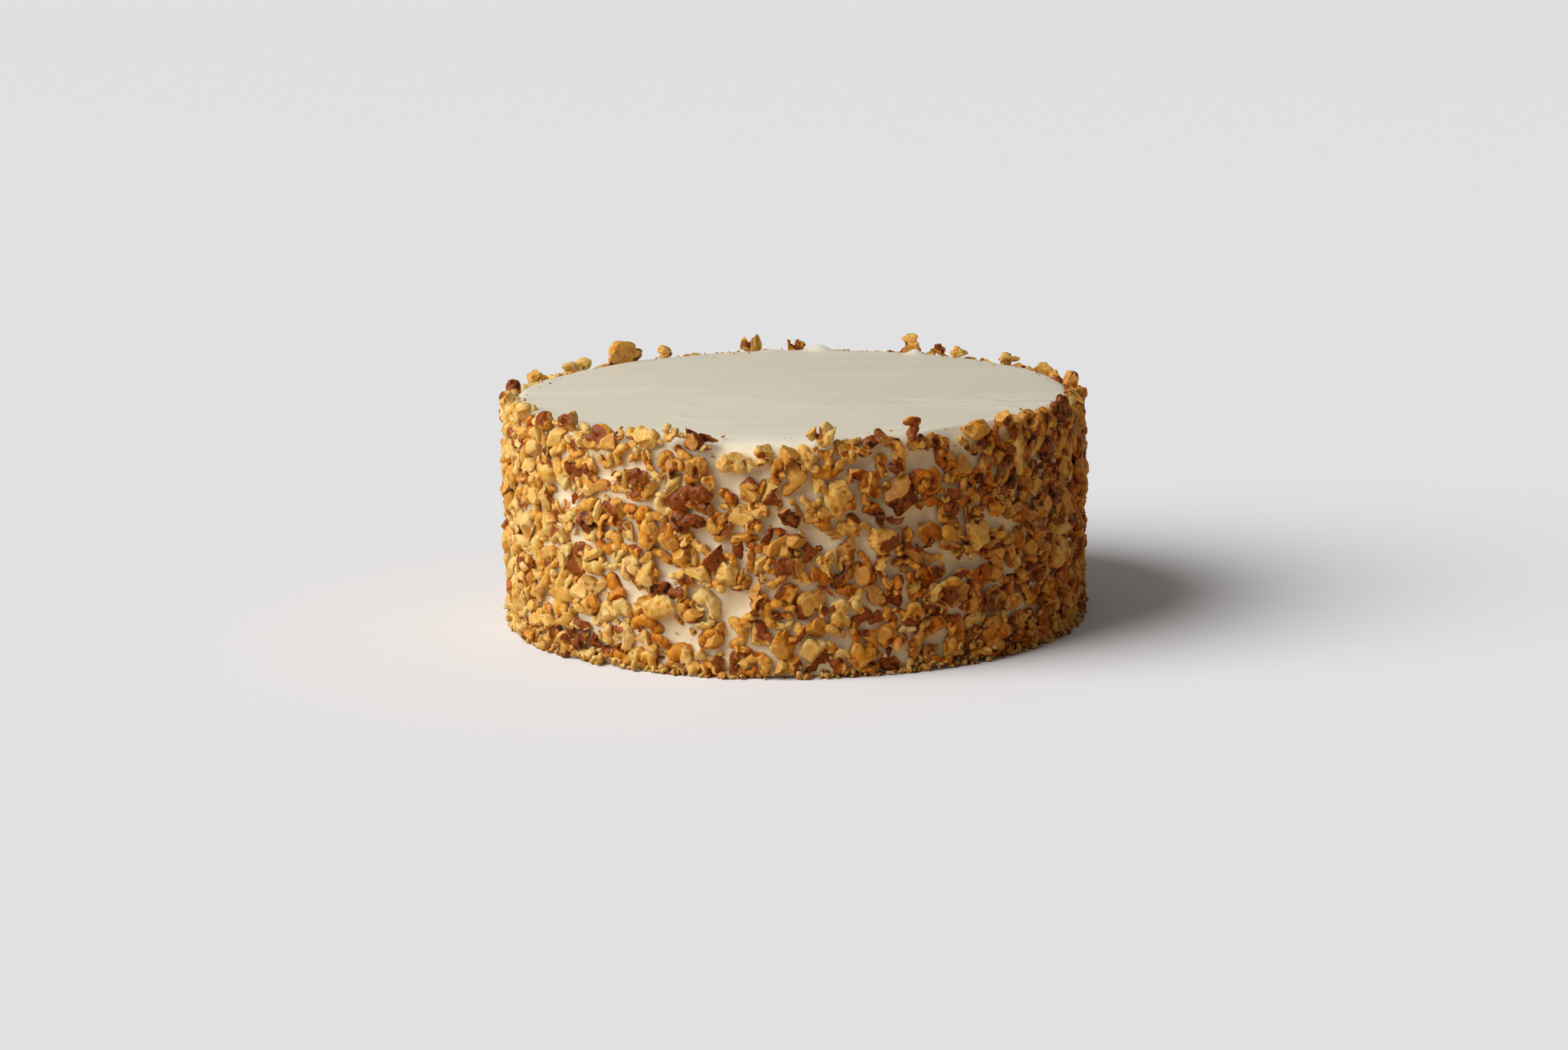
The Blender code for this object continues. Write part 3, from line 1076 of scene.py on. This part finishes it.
@dataclass
class Frosting:
    """The frosted cake: one closed skin over the whole uncut cake."""

    form: CakeForm
    finish: FrostingFinish = field(default_factory=FrostingFinish)
    turn_steps: int = 620
    side_rows: int = 78
    corner_rows: int = 9
    top_rings: int = 56
    stroke_height: float = 0.00036
    press_height: float = 0.0017

    def build(self, side: SideMap) -> bpy.types.Object:
        """Models and dresses the frosting.

        Args:
            side: The unrolled side, with the nuts that are pressed into it.

        Returns:
            The frosting.
        """
        bm = bmesh.new()
        profile = self.profile()
        corners = [bm.verts.new((radius, 0.0, height)) for radius, height in profile]
        edges = [bm.edges.new(pair) for pair in zip(corners, corners[1:])]
        bmesh.ops.spin(
            bm,
            geom=corners + edges,
            cent=(0, 0, 0),
            axis=(0, 0, 1),
            angle=FULL_TURN,
            steps=self.turn_steps,
            use_merge=True,
        )
        bmesh.ops.remove_doubles(bm, verts=bm.verts, dist=1e-6)
        bmesh.ops.recalc_face_normals(bm, faces=bm.faces)
        mesh = bpy.data.meshes.new("frosting")
        bm.to_mesh(mesh)
        bm.free()
        points = np.empty(len(mesh.vertices) * 3)
        mesh.vertices.foreach_get("co", points)
        points = self.shaped(points.reshape(-1, 3), side)
        mesh.vertices.foreach_set("co", points.ravel())
        mesh.update()
        return add_piece("frosting", mesh, self.finish.material(), "frosted_cake")

    def profile(self) -> list[tuple[float, float]]:
        """Profile from the top's middle to the foot's, with the edge as a unit corner."""
        radius, height = self.form.radius, self.form.height
        corner = 0.0048
        top = [((radius - corner) * i / self.top_rings, height) for i in range(self.top_rings)]
        turn = [math.pi / 2 * (1 - i / self.corner_rows) for i in range(self.corner_rows)]
        edge = [
            (radius - corner + corner * math.cos(a), height - corner + corner * math.sin(a)) for a in turn
        ]
        side = [(radius, (height - corner) * (1 - i / self.side_rows)) for i in range(self.side_rows + 1)]
        return top + edge + side + [(0.0, 0.0)]

    def shaped(self, points: np.ndarray, side: SideMap) -> np.ndarray:
        """Gives the turned form its uneven edge, waves, spatula strokes and dents.

        Args:
            points: The turned form's points.
            side: The unrolled side, with the nuts that are pressed into it.

        Returns:
            The moved points.
        """
        x, y, z = points.T
        angle = np.arctan2(y, x)
        radius = np.hypot(x, y)
        height = self.form.height
        side_share = smoothstep(self.form.radius - 0.006, self.form.radius - 0.0005, radius) * (z > 0)
        wave = self.form.side(angle, z) - self.form.radius
        bulge = self.bulges(angle, z, side)
        radius = radius + side_share * (wave + bulge)
        top_share = smoothstep(height - 0.006, height - 0.0005, z)
        lift = top_share * (self.strokes(x, y) + self.lumps(angle, radius))
        lift = lift + self.edge_drop(angle, radius, z)
        return np.stack([radius * np.cos(angle), radius * np.sin(angle), z + lift], axis=1)

    def edge_drop(self, angle: np.ndarray, radius: np.ndarray, z: np.ndarray) -> np.ndarray:
        """Rounds the edge off further where it is soft."""
        soft = self.form.corner(angle) - 0.0034
        near = smoothstep(self.form.radius - 0.016, self.form.radius - 0.001, radius)
        return -0.55 * soft * near * near * smoothstep(self.form.height - 0.012, self.form.height, z)

    def strokes(self, x: np.ndarray, y: np.ndarray) -> np.ndarray:
        """Height of the spatula's long strokes over the flat top."""
        field_noise = ValueNoise(23)
        bend = 0.35 * field_noise(x / 0.09, y / 0.09, x * 0) + 0.12
        along = x * np.cos(bend) + y * np.sin(bend)
        across = y * np.cos(bend) - x * np.sin(bend)
        broad = field_noise(along / 0.055, across / 0.011, x * 0 + 5.5)
        fine = field_noise(along / 0.06, across / 0.0034, x * 0 + 9.5)
        edge = (1 - np.abs(field_noise(along / 0.035, across / 0.012, x * 0 + 14.5))) ** 10
        patch = smoothstep(-0.2, 0.5, field_noise(x / 0.045, y / 0.03, x * 0 + 21.5))
        return self.stroke_height * (broad + patch * (0.35 * fine + 1.1 * edge))

    def lumps(self, angle: np.ndarray, radius: np.ndarray) -> np.ndarray:
        """Frosting that was dragged over single nuts on the rim, and the burr that the spatula left."""
        total = np.zeros_like(angle)
        for place, high, length in ((83.8, 2.6, 5.0), (61.0, 2.2, 3.2), (95.0, 0.7, 4.0)):
            around = (np.degrees(angle) - place) * math.pi / 180 * self.form.radius
            inward = radius - (self.form.radius - 0.0035)
            total += high * MM * np.exp(-((around / (length * MM)) ** 2) - (inward / 0.0032) ** 2)
        turned = np.degrees(angle) % 360
        burr = smoothstep(294, 300, turned) * (1 - smoothstep(320, 328, turned))
        return total + 0.0009 * burr * np.exp(-(((radius - self.form.radius + 0.0032) / 0.0012) ** 2))

    def bulges(self, angle: np.ndarray, z: np.ndarray, side: SideMap) -> np.ndarray:
        """Frosting pushed up round the nuts that were pressed into the side."""
        near = side.covered(0.0013)
        columns, rows = near.shape
        u = (angle % FULL_TURN) * self.form.radius / side.cell
        v = np.clip(z / side.cell, 0, rows - 1.001)
        low_u, low_v = np.floor(u).astype(int), np.floor(v).astype(int)
        share_u, share_v = u - low_u, v - low_v
        total = np.zeros_like(u)
        for step_u in (0, 1):
            for step_v in (0, 1):
                weight = np.abs(1 - step_u - share_u) * np.abs(1 - step_v - share_v)
                total += weight * near[(low_u + step_u) % columns, np.minimum(low_v + step_v, rows - 1)]
        fade = 1 - smoothstep(self.form.height - 0.006, self.form.height - 0.001, z)
        return self.press_height * total * fade


# -------------------------------------------------------------------------- the coat


@dataclass(frozen=True)
class SizeClass:
    """One size of chopped walnut, with lengths in millimetres."""

    low: float
    high: float
    tries: int
    overlap: float
    most_bare: float
    triangles: int
    shapes: int


@dataclass
class WalnutCoat:
    """The side's coat of chopped walnuts, from pieces near a berry's size down to bits."""

    form: CakeForm
    side: SideMap
    material: bpy.types.Material
    bed: float = 0.0009
    rim_rise: tuple[tuple[float, float], ...] = (
        (0, 0.8),
        (18, 0.3),
        (165, 0.3),
        (188, 1.6),
        (205, 2.6),
        (247, 2.6),
        (252, 1.0),
        (255, -6.0),
        (261, -6.0),
        (264, -1.6),
        (275, -1.6),
        (281, 0.4),
        (284, -1.0),
        (296, 0.5),
        (299, -1.4),
        (311, -1.4),
        (315, 2.2),
        (340, 2.0),
        (360, 0.8),
    )
    seed: int = 31
    classes: tuple[SizeClass, ...] = (
        SizeClass(12.0, 16.0, 700, 0.18, 0.12, 640, 7),
        SizeClass(9.0, 12.5, 9000, 0.36, 0.16, 420, 18),
        SizeClass(6.5, 9.0, 9000, 0.46, 0.20, 260, 14),
        SizeClass(3.2, 6.0, 5000, 0.52, 0.28, 110, 8),
    )
    # Tone shift by angle round the cake: darker and redder at the right and back as painted shade, paler at the
    # left as painted light.
    painted_side_shading: tuple[tuple[float, float], ...] = (
        (0, 0.36),
        (40, 0.10),
        (190, -0.17),
        (225, -0.09),
        (245, 0.0),
        (262, 0.15),
        (280, 0.36),
        (300, 0.42),
        (360, 0.36),
    )
    kinds: tuple[tuple[Kind, float, str], ...] = (
        (Kind.LOBED, 0.32, "walnut_lobes"),
        (Kind.CHIP, 0.15, "walnut_chips"),
        (Kind.SHELL, 0.19, "walnut_shards"),
        (Kind.FINGER, 0.16, "walnut_fingers"),
        (Kind.CURL, 0.14, "walnut_curls"),
        (Kind.FLAKE, 0.04, "walnut_skins"),
    )

    def build(self, maker: FragmentMaker) -> None:
        """Places, models and dresses the coat.

        Args:
            maker: Grows the fragments.
        """
        chance = np.random.default_rng(self.seed)
        heaps = {kind: Heap() for kind, _, _ in self.kinds}
        weights = np.array([weight for _, weight, _ in self.kinds])
        seed = 1000
        for size in self.classes:
            stock = {}
            for kind, _, _ in self.kinds:
                stock[kind] = [maker.grow(kind, seed + i, size.triangles) for i in range(size.shapes)]
                seed += size.shapes
            placed = 0
            for _ in range(size.tries):
                kind = self.kinds[chance.choice(len(self.kinds), p=weights)][0]
                shape = stock[kind][chance.integers(size.shapes)]
                placed += self.try_piece(heaps[kind], shape, kind, size, chance)
            log.info("%d pieces of %.1f to %.1f mm", placed, size.low, size.high)
        log.info("nuts cover %.0f%% of the side", 100 * (self.side.heights > self.side.stands_out).mean())
        for kind, _, name in self.kinds:
            add_piece(name, heaps[kind].mesh(name), self.material, "walnut_coat", NUT_CREASE)

    def try_piece(self, heap: Heap, shape: Shape, kind: Kind, size: SizeClass, chance: np.random.Generator) -> bool:
        """Tries to lay one fragment on the side.

        Args:
            heap: Where it is added.
            shape: Its shape.
            kind: Its kind.
            size: Its size class.
            chance: Source of random numbers.

        Returns:
            Whether there was room for it.
        """
        length = chance.uniform(size.low, size.high) * MM
        stretch = np.array([1.0, chance.uniform(0.9, 1.2), chance.uniform(0.9, 1.25)]) * length / shape.size[0]
        flip = np.array([chance.choice([-1.0, 1.0]) for _ in range(3)])
        tilt = Matrix.Rotation(chance.normal(0, 0.30), 3, "X") @ Matrix.Rotation(chance.normal(0, 0.22), 3, "Y")
        turn = np.array(Matrix.Rotation(chance.uniform(0, FULL_TURN), 3, "Z") @ tilt) @ np.diag(stretch * flip)
        local = shape.points @ turn.T
        thick = local[:, 2].max() - local[:, 2].min()
        local[:, 2] += thick * (1 - chance.uniform(0.26, 0.46)) - local[:, 2].max()
        along, height = self.side.open_place(chance)
        height = min(max(height, 0.0008 - local[:, 1].min()), self.form.height + 0.001)
        angle = along / self.form.radius
        dense = 0.16 * float(smoothstep(284, 304, np.array(math.degrees(angle) % 360)))
        base = self.side.settle(along, height, local, size.overlap + dense, size.most_bare)
        if base is None:
            return False
        lift = 0.9 * float(smoothstep(self.form.height - 0.005, self.form.height + 0.001, np.array(height)))
        flat = np.array([math.cos(angle), math.sin(angle), 0.0])
        out = flat * math.cos(lift) + np.array([0, 0, math.sin(lift)])
        across = np.array([-math.sin(angle), math.cos(angle), 0.0])
        basis = np.stack([across, np.cross(out, across), out], axis=1)
        raised = local + np.array([0, 0, base + self.bed])
        radius = float(self.form.side(np.array(angle), np.array(height))) - 0.0012 * lift
        middle = (raised.max(0) + raised.min(0)) / 2
        place = flat * radius + np.array([0, 0, min(height, self.form.height - 0.0008)]) + basis @ middle
        matrix = basis @ turn
        levels = (shape.points @ matrix.T)[:, 2] + place[2]
        most = self.form.height + MM * float(np.interp(math.degrees(angle) % 360, *zip(*self.rim_rise)))
        place[2] -= min(0.0, float(levels.min())) + max(0.0, float(levels.max()) - most)
        tone, skin = self.colouring(shape, kind, angle, chance)
        # Points low on the piece, near the frosting, count as deep and get painted shade.
        depth = 1 - smoothstep(0.30, 0.78, 1 - (local[:, 2].max() - local[:, 2]) / thick)
        heap.add(shape, matrix, place, tone, skin, depth)
        return True

    @staticmethod
    def colouring(shape: Shape, kind: Kind, angle: float, chance: np.random.Generator) -> tuple[float, np.ndarray]:
        """Picks a fragment's tone and where its skin is left, darker with more skin round the right and back as
        painted shade and paler at the left as painted light.
        """
        towards = chance.normal(0, 1, 3)
        towards = towards / np.linalg.norm(towards)
        # The angle shifts the tone and the skin: painted shade at the right and back, painted light at the left.
        painted_side_shading = float(np.interp(math.degrees(angle) % 360, *zip(*WalnutCoat.painted_side_shading)))
        if kind is Kind.FLAKE:
            return chance.uniform(0.3, 1.0), skin_over(shape, towards, 0.9)
        few, more = 0.48 - 0.5 * painted_side_shading, 0.09 + 0.25 * painted_side_shading
        share = chance.choice([0.0, 0.15, 0.35, 0.65], p=[few, 0.22, 0.78 - few - more, more])
        tone = float(np.clip(chance.normal(0.30 + painted_side_shading, 0.24), 0, 1))
        return tone, skin_over(shape, towards, share)


@dataclass
class Crumbs:
    """Crumbs of walnut on the frosting, heaped round the foot and strewn along the rim."""

    form: CakeForm
    side: SideMap
    material: bpy.types.Material
    seed: int = 77
    foot_count: int = 460
    side_count: int = 420
    rim_count: int = 110
    band_count: int = 520
    band_height: float = 0.0085
    shapes: int = 20
    triangles: int = 44

    def build(self, maker: FragmentMaker) -> None:
        """Places, models and dresses the crumbs.

        Args:
            maker: Grows the fragments.
        """
        chance = np.random.default_rng(self.seed)
        stock = [maker.grow(Kind.CHIP, 9000 + i, self.triangles) for i in range(self.shapes)]
        heap = Heap()
        for _ in range(self.foot_count):
            length = (1.6 + 3.2 * chance.random() ** 1.4) * MM
            reach = self.form.radius + chance.uniform(0.0022, 0.0050)
            self.drop(heap, stock, chance.uniform(0, FULL_TURN), reach, length * 0.3, length, chance)
        for _ in range(self.side_count):
            length = (0.5 + 1.6 * chance.random() ** 2) * MM
            angle, height = chance.uniform(0, FULL_TURN), chance.uniform(0.001, self.form.height - 0.001)
            base = self.level(angle, height)
            self.drop(heap, stock, angle, self.form.radius + base, height, length, chance)
        for _ in range(self.rim_count):
            length = (0.5 + 1.5 * chance.random() ** 2) * MM
            reach = self.form.radius - 0.001 - abs(chance.normal(0, 0.0045))
            self.drop(heap, stock, chance.uniform(0, FULL_TURN), reach, self.form.height + 0.0002, length, chance)
        for _ in range(self.band_count):
            length = (1.8 + 3.2 * chance.random() ** 1.4) * MM
            angle, height = chance.uniform(0, FULL_TURN), 0.0006 + self.band_height * chance.random() ** 1.5
            base = min(self.level(angle, height), 0.0050) * chance.uniform(0.75, 1.0)
            self.drop(heap, stock, angle, self.form.radius + base, height, length, chance)
        add_piece("walnut_crumbs", heap.mesh("walnut_crumbs"), self.material, "walnut_coat")

    def level(self, angle: float, height: float) -> float:
        """Height of the nuts' surface at a place on the side."""
        columns, rows = self.side.heights.shape
        column = int((angle % FULL_TURN) * self.form.radius / self.side.cell) % columns
        return float(self.side.heights[column, min(rows - 1, int(height / self.side.cell))]) + 0.0009

    def drop(
        self,
        heap: Heap,
        stock: list[Shape],
        angle: float,
        reach: float,
        height: float,
        length: float,
        chance: np.random.Generator,
    ) -> None:
        """Drops one crumb.

        Args:
            heap: Where it is added.
            stock: The shapes to pick from.
            angle: Its angle round the cake.
            reach: Its distance from the cake's axis.
            height: Its height over the foot.
            length: Its length.
            chance: Source of random numbers.
        """
        shape = stock[chance.integers(len(stock))]
        turn = np.array(Matrix.Rotation(chance.uniform(0, FULL_TURN), 3, Vector(chance.normal(0, 1, 3))))
        matrix = turn * (length / shape.size[0])
        place = np.array([math.cos(angle) * reach, math.sin(angle) * reach, height])
        place[2] -= min(0.0, float((shape.points @ matrix.T)[:, 2].min() + place[2]))
        skin = np.full(len(shape.points), float(chance.random() < 0.14))
        heap.add(shape, matrix, place, float(np.clip(chance.normal(0.45, 0.22), 0, 1)), skin)


@dataclass
class WalnutChunks:
    """The chunks as large as a berry, each in the place of its CAD node."""

    form: CakeForm
    side: SideMap
    material: bpy.types.Material
    frame: dict
    seed: int = 430
    triangles: int = 1300

    def build(self, maker: FragmentMaker) -> None:
        """Models and dresses every chunk.

        Args:
            maker: Grows the fragments.
        """
        slots = {part["node"]: part["material_slot"] for part in self.frame["record"]["subparts"]}
        for name in sorted(n for n in self.frame["nodes"] if n.startswith("walnut_chunk_")):
            self.chunk(name, slots[name], maker)

    def chunk(self, node: str, slot: str, maker: FragmentMaker) -> None:
        """Models one chunk.

        Args:
            node: The CAD node that it stands for.
            slot: The record's slot of its finish.
            maker: Grows the fragment.
        """
        number = int(node.rsplit("_", 1)[1])
        chance = np.random.default_rng(self.seed + number)
        points = np.array([v.co for v in self.frame["nodes"][node].data.vertices])
        middle = (points.max(0) + points.min(0)) / 2
        angle = math.atan2(middle[1], middle[0])
        out = np.array([math.cos(angle), math.sin(angle), 0.0])
        across = np.array([-math.sin(angle), math.cos(angle), 0.0])
        axes = np.stack([across, np.array([0, 0, 1.0]), out], axis=1)
        local = points @ axes
        low, high = local.min(0), local.max(0)
        size, place = high - low, (high + low) / 2
        kind = self.kind_for(max(size[0], size[1]) / min(size[0], size[1]), chance)
        shape = maker.grow(kind, self.seed * 3 + number, self.triangles)
        order = np.array([[0, -1, 0], [1, 0, 0], [0, 0, 1.0]]) if size[1] > size[0] else np.eye(3)
        turned = shape.points @ order.T
        fit = size / (turned.max(0) - turned.min(0))
        heap = Heap()
        tone, share = {
            "golden_walnut": (chance.uniform(0.15, 0.4), chance.choice([0.0, 0.15])),
            "brown_walnut": (chance.uniform(0.35, 0.6), 0.42),
            "dark_walnut": (chance.uniform(0.6, 0.9), 0.68),
        }[slot]
        outward = -0.9 if math.sin(angle) > 0.3 else 0.9
        towards = order.T @ np.array([chance.normal(0, 0.5), chance.normal(0, 0.5), outward])
        skin = skin_over(shape, towards / np.linalg.norm(towards), share)
        heap.add(shape, axes @ np.diag(fit) @ order, axes @ place, tone, skin)
        add_piece(node + "_looks", heap.mesh(node), self.material, node, NUT_CREASE)
        self.side.stamp(heap.points[0])

    @staticmethod
    def kind_for(long_ratio: float, chance: np.random.Generator) -> Kind:
        """Picks a long chunk's kind by its form, and a compact one's by chance."""
        if long_ratio > 1.7:
            return Kind.FINGER
        return [Kind.LOBED, Kind.LOBED, Kind.SHELL, Kind.CHIP][chance.integers(4)]


# -------------------------------------------------------------------------------- studio


@dataclass
class Studio:
    """Pale floor, soft light from the left and the camera."""

    camera_place: tuple[float, float, float] = (-0.0046, -1.5773, 0.3526)
    camera_pitch: float = math.radians(-11.29)
    camera_roll: float = math.radians(-0.85)
    lens: float = 87.9
    key_azimuth: float = math.radians(203)
    key_elevation: float = math.radians(38)
    key_distance: float = 1.35
    key_diameter: float = 1.7
    key_power: float = 26.0
    floor_strength: float = 3.70
    floor_softness: float = math.radians(50)
    key_colour: tuple[float, float, float] = (1.0, 0.95, 0.87)
    ambient: float = 0.17
    floor_size: float = 40.0

    def build(self) -> None:
        """Sets up the floor, the lights and the camera."""
        bm = bmesh.new()
        bmesh.ops.create_grid(bm, x_segments=1, y_segments=1, size=self.floor_size / 2)
        mesh = bpy.data.meshes.new("floor")
        bm.to_mesh(mesh)
        bm.free()
        mesh.materials.append(FloorFinish().material())
        floor = bpy.data.objects.new("floor", mesh)
        bpy.context.scene.collection.objects.link(floor)
        self.light(floor)
        self.world()
        self.camera()

    def light(self, floor: bpy.types.Object) -> None:
        """Adds the soft box that lights the cake, and the even light that shows the floor.

        Args:
            floor: The floor, which the soft box leaves out.
        """
        cake = bpy.data.collections.new("cake")
        for piece in bpy.context.scene.objects:
            if piece.type == "MESH" and piece is not floor:
                cake.objects.link(piece)
        ground = bpy.data.collections.new("ground")
        ground.objects.link(floor)
        box = bpy.data.lights.new("key", "AREA")
        box.shape = "DISK"
        box.size = self.key_diameter
        box.energy = self.key_power
        even = bpy.data.lights.new("floor_light", "SUN")
        even.energy = self.floor_strength
        even.angle = self.floor_softness
        flat = math.cos(self.key_elevation)
        away = Vector(
            (flat * math.cos(self.key_azimuth), flat * math.sin(self.key_azimuth), math.sin(self.key_elevation))
        )
        for lamp, lit in ((box, cake), (even, ground)):
            lamp.color = self.key_colour
            holder = bpy.data.objects.new(lamp.name, lamp)
            holder.location = away * self.key_distance
            holder.rotation_euler = away.to_track_quat("Z", "Y").to_euler()
            holder.light_linking.receiver_collection = lit
            bpy.context.scene.collection.objects.link(holder)

    def world(self) -> None:
        """Adds the even light of the room."""
        world = bpy.data.worlds.new("room")
        world.use_nodes = True
        background = world.node_tree.nodes["Background"]
        background.inputs["Color"].default_value = (1.0, 0.93, 0.84, 1.0)
        background.inputs["Strength"].default_value = self.ambient
        bpy.context.scene.world = world

    def camera(self) -> None:
        """Adds the camera."""
        data = bpy.data.cameras.new("camera")
        data.lens = self.lens
        data.sensor_width = 36.0
        data.clip_end = 100.0
        camera = bpy.data.objects.new("camera", data)
        tilt = Matrix.Rotation(math.pi / 2 + self.camera_pitch, 4, "X")
        roll = Matrix.Rotation(self.camera_roll, 4, "Z")
        camera.matrix_world = Matrix.Translation(self.camera_place) @ tilt @ roll
        bpy.context.scene.collection.objects.link(camera)
        bpy.context.scene.camera = camera
        bpy.context.scene.view_settings.view_transform = "Standard"


def main() -> None:
    """Builds the cake and the studio round it."""
    logging.basicConfig(level=logging.INFO, format="%(name)s: %(message)s")
    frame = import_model()
    form = CakeForm.from_frame()
    groups = frayed_mask_group(), specks_group()
    walnut = WalnutFinish("walnut").material(*groups)
    crumb = WalnutFinish("walnut_crumb", subsurface=0.12).material(*groups)
    maker = FragmentMaker()
    side = SideMap(form)
    WalnutChunks(form, side, walnut, frame).build(FragmentMaker(wrinkle=0.11, break_roughness=0.15))
    WalnutCoat(form, side, walnut).build(maker)
    Crumbs(form, side, crumb).build(maker)
    Frosting(form).build(side)
    Studio().build()


if __name__ == "__main__":
    main()
